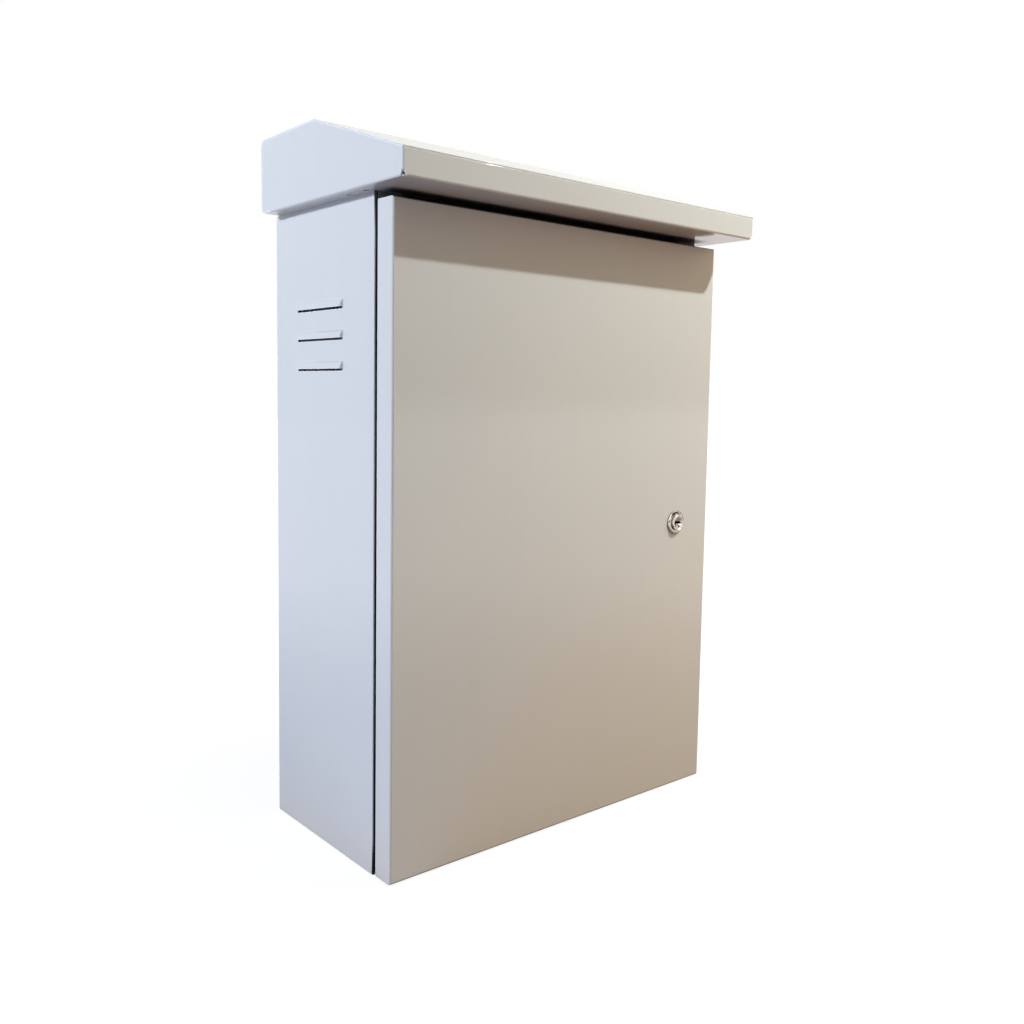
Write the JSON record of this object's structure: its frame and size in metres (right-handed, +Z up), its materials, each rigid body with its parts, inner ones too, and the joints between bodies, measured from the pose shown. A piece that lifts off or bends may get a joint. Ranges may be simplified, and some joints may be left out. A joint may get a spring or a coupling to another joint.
{
  "type": "roadside utility cabinet",
  "caption": "Folded steel roadside cabinet with a sloped overhanging roof hood, pressed side louvres, a left-hinged door on concealed hinges and a quarter-turn cam lock.",
  "frame": {"origin": "on the floor, below the middle of the whole cabinet with its roof", "axes": "+Z up, front towards -Y, +X to the right seen from the front"},
  "size_m": [0.452, 0.252, 0.679],
  "materials": {
    "cabinet_paint": "light grey satin powder coat",
    "zinc_steel": "zinc plated steel",
    "lock_chrome": "nickel chrome plate",
    "seal_rubber": "matt black foam rubber",
    "screen_black": "matt black painted perforated steel"
  },
  "bodies": {
    "cabinet": {"body_wrap": "cabinet_paint", "top_plate": "cabinet_paint", "bottom_plate": "cabinet_paint", "gland_plate": "cabinet_paint", "gland_seal": "seal_rubber", "gland_studs": "zinc_steel", "gland_nuts": "zinc_steel", "vent_screen_left": "screen_black", "vent_screen_right": "screen_black", "mounting_plate": "zinc_steel", "mounting_studs": "zinc_steel", "mounting_spacers": "zinc_steel", "mounting_nuts": "zinc_steel", "earth_stud": "zinc_steel", "earth_nuts": "zinc_steel", "roof_band": "cabinet_paint", "roof_cover": "cabinet_paint", "roof_bolts": "zinc_steel", "roof_nuts": "zinc_steel", "hinge_bracket_lower": "zinc_steel", "hinge_bracket_upper": "zinc_steel"},
    "door": {"door_panel": "cabinet_paint", "door_stiffener": "cabinet_paint", "door_gasket": "seal_rubber", "door_earth_stud": "zinc_steel", "door_earth_nuts": "zinc_steel", "hinge_leaf_lower": "zinc_steel", "hinge_leaf_upper": "zinc_steel", "hinge_pin_lower": "zinc_steel", "hinge_pin_upper": "zinc_steel", "lock_housing": "lock_chrome", "lock_washer": "zinc_steel", "lock_nut": "zinc_steel"},
    "lock": {"lock_plug": "lock_chrome", "lock_cam": "zinc_steel", "cam_screw": "zinc_steel"}
  },
  "joints": [
    {"name": "door_hinge", "type": "hinge", "parent": "cabinet", "child": "door", "pos_m": [-0.201, -0.075, 0.3], "axis": [0, 0, -1], "range_deg": [0, 110]},
    {"name": "key_turn", "type": "hinge", "parent": "door", "child": "lock", "pos_m": [0.158, -0.087, 0.299], "axis": [0, 1, 0], "range_deg": [0, 90]}
  ]
}
